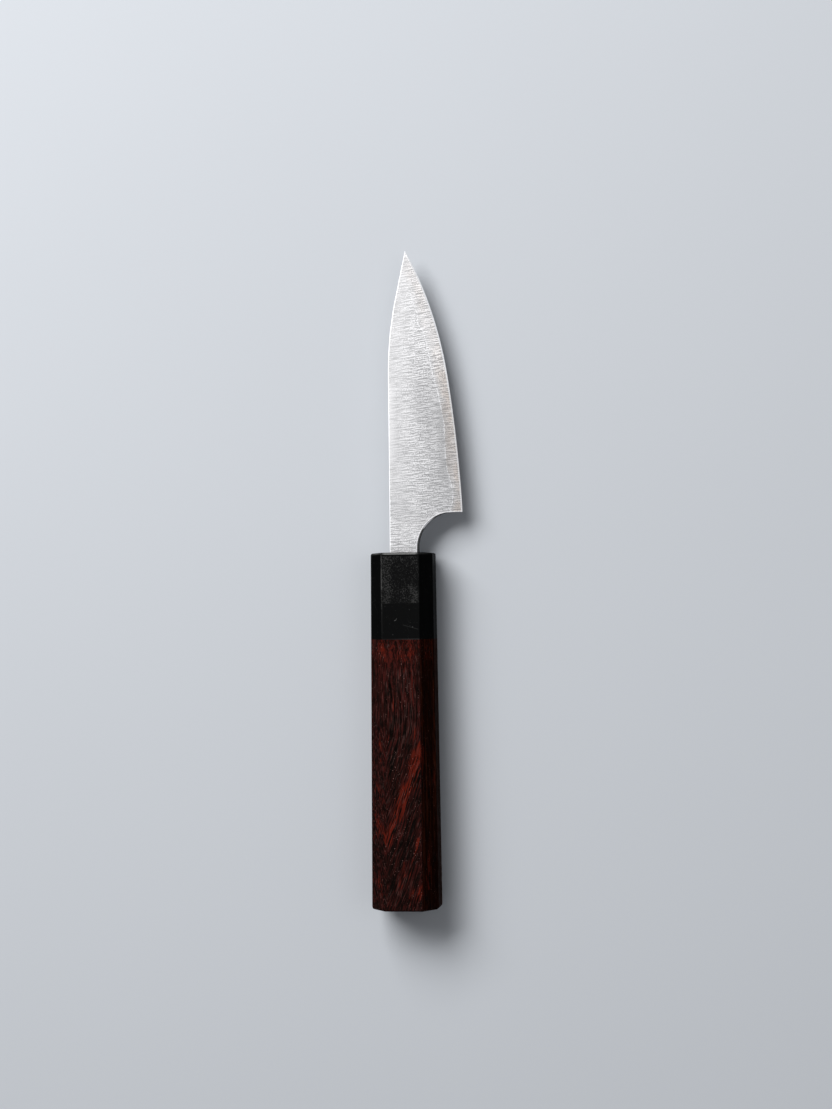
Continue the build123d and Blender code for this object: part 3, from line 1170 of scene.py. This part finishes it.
WOOD_SHADOWS = [
    (2.6, -82, 1, -91, 1.6, 0.85), (5, -68.5, 4, -80, 1, 0.65),
    (-2.6, -91, -3.6, -103, 1.1, 0.65), (-1.8, -63, -2.6, -74, 0.8, 0.5),
    (2.2, -50, 1.2, -60, 1.5, 0.5), (5.3, -28, 5.2, -45, 0.6, 0.6),
    (-8.8, -84, -8.9, -97, 0.8, 0.6), (-5.4, -39, -5.6, -48, 0.8, 0.5),
    (-1.4, -88.5, -0.2, -95.5, 1, 0.7), (-8.7, -105.5, -8.4, -108, 0.8, 0.6),
]
# The left arris, along which the wood's grain folds, and where the grain starts to lean
FOLD_X, LEAN_Y = -5, -52


def dark_rosewood():
    """Dark red-brown rosewood: straight grain near the ferrule that leans over towards the butt
    and folds along the left arris, with orange flames and fine open pores. Its side facets are
    painted darker as shade, and fine glints are painted along the grain."""
    finishes = bpy.context.scene.knife_finish
    dark, brown, dust = finishes.dark_wood, finishes.brown_wood, finishes.pore_dust
    material, tree, place = new_material("dark_rosewood_finish")
    x, y, z = tree.parts(place)

    wobble = tree.noise(place, (3.5, 13), 1.5) - 0.5
    upper = z.ramp(1.5, 3.5) * x.ramp(6.1, 5.7)
    past = tree.most(LEAN_Y - y, 0)
    lean = past * past * 0.34 / (past + 8)
    sideways = x + (abs(x - FOLD_X) + lean - x) * upper
    ripple = (tree.noise(place, (1.5, 2.4), 1, offset=(3, 3, 1)) - 0.5) * y.ramp(-37, -29, 0.12, 3)
    other_side = tree.math("LESS_THAN", x, FOLD_X) * 60
    grain = tree.vector(sideways + wobble * 1.2 + ripple, y, z + other_side)
    streaks = tree.noise(grain, (0.48, 10), 1, 0.6)
    fine = tree.noise(grain, (0.36, 5.5), offset=(3, 1, 2))
    flecks = tree.noise(grain, (0.36, 1.6), offset=(4, 7, 3))
    grit = tree.noise(place, (0.30, 0.34), offset=(2, 9, 4)) - 0.5
    zones = tree.noise(grain, (2.6, 22), 2, offset=(9, 4, 1))
    curls = tree.noise(place, (0.65, 1.5), 2, 0.6, 1.8, offset=(1, 6, 5))
    redness = (
        streaks.ramp(0.49, 0.59) * 0.47 + fine.ramp(0.47, 0.62) * 0.41
        + flecks.ramp(0.45, 0.66) * 0.18 + zones.ramp(0.40, 0.66) * 0.14
        + grit * y.ramp(-50, -32, 0.45, 1) + y.ramp(-70, -40, -0.06, 0)
    )
    stripes = tree.noise(place, (0.55, 40), 1, offset=(1, 3, 8)).ramp(0.48, 0.64)
    stripes = stripes * fine.ramp(0.35, 0.60, 0.55, 1)
    # The right facets: the straight brown stripes of the grain over a ground painted much darker,
    # as shade.
    stripes_on_painted_shade = tree.layered(rgb(brown, 0.20), (stripes, rgb(brown, 0.85)))
    on_right = x.ramp(5.7, 6.2)

    ragged = fine * 0.8 + curls * 0.6 - 0.7
    stagger = streaks * 9 + fine * 7 + wobble * 4 - 8
    brushed = tree.vector(x + ragged, y + stagger, z)
    strokes = drawn(tree, brushed, WOOD_FLAMES)
    torn = (strokes + streaks * 1.5 + fine * 1.5 - 1.86).ramp(-0.10, 0.40)
    strokes = torn * strokes.ramp(0.05, 0.35) * z.ramp(0.5, 2) * fine.ramp(0.32, 0.50, 0.45, 1)
    strokes = strokes * tree.most(curls.ramp(0.40, 0.54, 0.2, 1), y.ramp(-33, -38))
    bands = zones.ramp(0.58, 0.70) * streaks.ramp(0.46, 0.60)
    near_joint = y.ramp(-37, -29.5) * curls.ramp(0.49, 0.60) * fine.ramp(0.36, 0.56, 0.45, 1)
    flames = tree.most(strokes, bands * 0.35, near_joint * 0.52) * on_right.ramp(0, 1, 1, 0.5)
    shadows = drawn(tree, brushed, WOOD_SHADOWS) * z.ramp(3, 5)
    shadows = shadows * streaks.ramp(0.62, 0.46, 0.45, 1)

    greyed = y.ramp(-33, -37) * y.ramp(-66, -50) * z.ramp(6, 7.5) * abs(x).ramp(5.6, 2.5)
    combed = tree.noise(grain, (0.30, 5), offset=(6, 5, 2)).ramp(0.55, 0.66)
    pores = tree.noise(grain, (0.34, 3.6), offset=(5, 2, 8)).ramp(0.57, 0.66)
    filled = tree.noise(grain, (2.5, 7), 2, offset=(2, 2, 2)).ramp(0.36, 0.60)
    dusty = tree.noise(place, (0.30, 0.40), offset=(8, 8, 1)).ramp(0.77, 0.83)
    # Painted glints: fine bright lines along the grain, in the colour of the pore dust.
    painted_glints = tree.noise(grain, (0.26, 3), offset=(7, 2, 5)).ramp(0.68, 0.76)
    # Painted shade: the facets on the left, above the middle, and those on the right, darker than
    # the top.
    dim = tree.most(x.ramp(-5.7, -6.2, 0, 0.22) * z.ramp(0, 1), on_right * 0.35)
    wear = tree.shared(hand_wear, place=place)
    rubbed = tree.attribute("worn") * fine.ramp(0.4, 0.7) * (y.ramp(-108.2, -108.9) * 0.6 + 0.22)
    colour = tree.layered(
        rgb(dark), (redness, rgb(finishes.red_wood)),
        (on_right, stripes_on_painted_shade),
        (flames, rgb(finishes.flame_wood)),
        (shadows, rgb(dark, 1.1)),
        (greyed * combed * 0.17, rgb(dust)),
        (pores * 0.8, rgb(dark, 0.6)),
        # Painted glints along the grain, fainter on the right facets.
        (painted_glints * on_right.ramp(0, 1, 0.24, 0.08), rgb(dust, 1.5)),
        (dusty * filled * on_right.ramp(0, 1, 0.7, 0.25), rgb(dust, 2.4)),
        (dim, rgb(dark, 0.1)),
        (wear["scratches"] * 0.25, rgb(dust)),
        (wear["specks"] * 0.5, rgb(dust, 1.5)),
        (rubbed, rgb(dust, 0.5)),
    )
    rough = pores * 0.25 + wear["smudges"] * 0.08 + 0.36
    height = streaks * 0.35 + fine * 0.25 + flecks * 0.2 - pores * 0.8
    finish(tree, colour, rough, height, 0.02, Specular_IOR_Level=0.002)
    return material


def dowel_wood():
    """Pale straight-grained wood."""
    colour = bpy.context.scene.knife_finish.dowel
    material, tree, place = new_material("dowel_wood_finish")
    grain = tree.noise(place, (0.6, 14), 4, 0.6)
    pores = tree.noise(place, (0.15, 2), 1, offset=(4, 4, 4)).ramp(0.62, 0.72)
    shade = tree.layered(
        rgb(colour, 0.75), (grain.ramp(0.35, 0.65), rgb(colour, 1.1)),
        (pores * 0.6, rgb(colour, 0.4)),
    )
    finish(tree, shade, grain * 0.2 + 0.62, grain - pores, 0.03)
    return material


def set_resin():
    """Amber resin with a slightly uneven set."""
    colour = bpy.context.scene.knife_finish.resin
    material, tree, place = new_material("set_resin_finish")
    cloud = tree.noise(place, (2.5, 4), 4, 0.6)
    shade = tree.layered(rgb(colour, 0.7), (cloud.ramp(0.35, 0.65), rgb(colour, 1.15)))
    finish(tree, shade, cloud * 0.2 + 0.28, cloud, 0.03)
    return material


def dark_sealant():
    """Dark filler, slightly sunk and uneven."""
    material, tree, place = new_material("dark_sealant_finish")
    cloud = tree.noise(place, (0.5, 0.5), 4, 0.65)
    dark, pale = (0.004, 0.004, 0.004, 1), (0.018, 0.016, 0.015, 1)
    shade = tree.layered(dark, (cloud.ramp(0.35, 0.7), pale))
    finish(tree, shade, cloud * 0.2 + 0.55, cloud, 0.05, Specular_IOR_Level=0.2)
    return material


class KNIFE_OT_stage(Operator):
    """Add the pale floor, the soft light and the camera"""

    bl_idname = "knife.stage"
    bl_label = "Stage"

    def execute(self, context):
        stage = context.scene.knife_stage
        laid = laid_down()
        middle = laid.to_translation()
        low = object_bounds()[0].z - FLOOR_GAP
        bpy.ops.object.select_all(action="DESELECT")
        bpy.ops.mesh.primitive_plane_add(size=stage.floor_size, location=(0, 0, low))
        floor = context.active_object
        floor.name = "floor"
        floor.data.materials.append(floor_finish(stage))
        floor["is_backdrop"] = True
        # A large softbox above and to the left of the blade, and a dim card over the cutting
        # edge, which the bevels mirror
        for name, direction, width, height, power in (
            ("key_softbox", KEY_FROM, stage.key_width, stage.key_height, stage.key_power),
            ("edge_card", CARD_FROM, stage.card_width, stage.card_width, stage.card_power),
        ):
            away = direction.normalized()
            bpy.ops.object.light_add(type="AREA", location=middle + away * stage.key_distance)
            light = context.active_object
            light.name = name
            light.rotation_euler = away.to_track_quat("Z", "Y").to_euler()
            light.data.shape, light.data.energy = "RECTANGLE", power
            light.data.size, light.data.size_y = width, height
        light_surroundings(context, stage)
        place_camera(context, stage, laid)
        context.scene.view_settings.view_transform = "Standard"
        return {"FINISHED"}


def floor_finish(stage):
    """The floor: plain and pale, faintly uneven."""
    material, tree = empty_material("floor_finish")
    place = tree.value("TexCoord", output="Object")
    cloud = tree.value("TexNoise", {"Vector": place, "Scale": 3, "Detail": 3})
    floor = tree.layered(rgb(stage.floor, 0.99), (cloud.ramp(0.3, 0.7), rgb(stage.floor, 1.01)))
    finish(tree, floor, cloud * 0.1 + 0.85, cloud, 0.01)
    return material


def light_surroundings(context, stage):
    """Even light from all round, with a pale background where it is seen or mirrored."""
    world = context.scene.world or bpy.data.worlds.new("surroundings")
    context.scene.world = world
    world.use_nodes = True
    world.node_tree.nodes.clear()
    tree = NodeTree(world.node_tree)
    path = tree.values(tree.node("LightPath"))
    seen = tree.most(path["Is Camera Ray"], path["Is Glossy Ray"], path["Is Transmission Ray"])
    soft, pale = (
        tree.value("Background", {"Color": rgb(colour), "Strength": 1})
        for colour in (stage.world, stage.mirrored)
    )
    tree.node("OutputWorld", {"Surface": tree.value("MixShader", {0: seen, 1: soft, 2: pale})})


def place_camera(context, stage, laid):
    """The camera, square to a plane that is rolled a little about the knife's length, with the
    knife placed and leaning in the frame as in the photograph."""
    toward = Vector((math.sin(CAMERA_ROLL), 0, math.cos(CAMERA_ROLL)))
    across = Vector((math.cos(CAMERA_ROLL), 0, -math.sin(CAMERA_ROLL)))
    along = Vector((0, 1, 0))
    right = math.cos(KNIFE_LEAN) * across - math.sin(KNIFE_LEAN) * along
    up = math.sin(KNIFE_LEAN) * across + math.cos(KNIFE_LEAN) * along
    from_middle = (
        (FRAME_WIDTH / 2 - FRONT_PIXEL[0]) * right - (FRAME_HEIGHT / 2 - FRONT_PIXEL[1]) * up
    ) * MM / PIXELS_PER_MM
    turn = Matrix((right, up, toward)).transposed().to_4x4()
    bpy.ops.object.camera_add()
    camera = context.active_object
    camera.name = "camera"
    place = Matrix.Translation(from_middle + toward * stage.camera_distance)
    camera.matrix_world = laid @ place @ turn
    camera.data.sensor_width = SENSOR_WIDTH
    seen_height = FRAME_HEIGHT / PIXELS_PER_MM * MM
    camera.data.lens = camera.data.sensor_width * stage.camera_distance / seen_height
    camera.data.clip_start, camera.data.clip_end = CLIPPING
    context.scene.camera = camera


class KNIFE_PT_pieces(Panel):
    """The knife's pieces, sizes and finishes"""

    bl_idname = "KNIFE_PT_pieces"
    bl_label = "Paring Knife"
    bl_space_type = "VIEW_3D"
    bl_region_type = "UI"
    bl_category = "Knife"

    def draw(self, context):
        for operator in OPERATORS:
            self.layout.operator(operator.bl_idname)
        for name, group in GROUPS.items():
            box = self.layout.box()
            box.label(text=group.__doc__.rstrip("."))
            for size in group.__annotations__:
                box.prop(getattr(context.scene, name), size)


OPERATORS = (
    KNIFE_OT_claddings, KNIFE_OT_core, KNIFE_OT_ferrule, KNIFE_OT_body, KNIFE_OT_joinery,
    KNIFE_OT_stage,
)
GROUPS = {
    "knife_blade": KnifeBladeSizes,
    "knife_handle": KnifeHandleSizes,
    "knife_finish": KnifeFinishes,
    "knife_stage": KnifeStage,
}


def register():
    for name, group in GROUPS.items():
        bpy.utils.register_class(group)
        setattr(bpy.types.Scene, name, PointerProperty(type=group))
    for cls in (*OPERATORS, KNIFE_PT_pieces):
        bpy.utils.register_class(cls)


def unregister():
    for cls in (KNIFE_PT_pieces, *reversed(OPERATORS)):
        bpy.utils.unregister_class(cls)
    for name, group in GROUPS.items():
        delattr(bpy.types.Scene, name)
        bpy.utils.unregister_class(group)


def main():
    register()
    bpy.ops.knife.claddings()
    bpy.ops.knife.core()
    bpy.ops.knife.ferrule()
    bpy.ops.knife.body()
    bpy.ops.knife.joinery()
    bpy.ops.knife.stage()


if __name__ == "__main__":
    main()
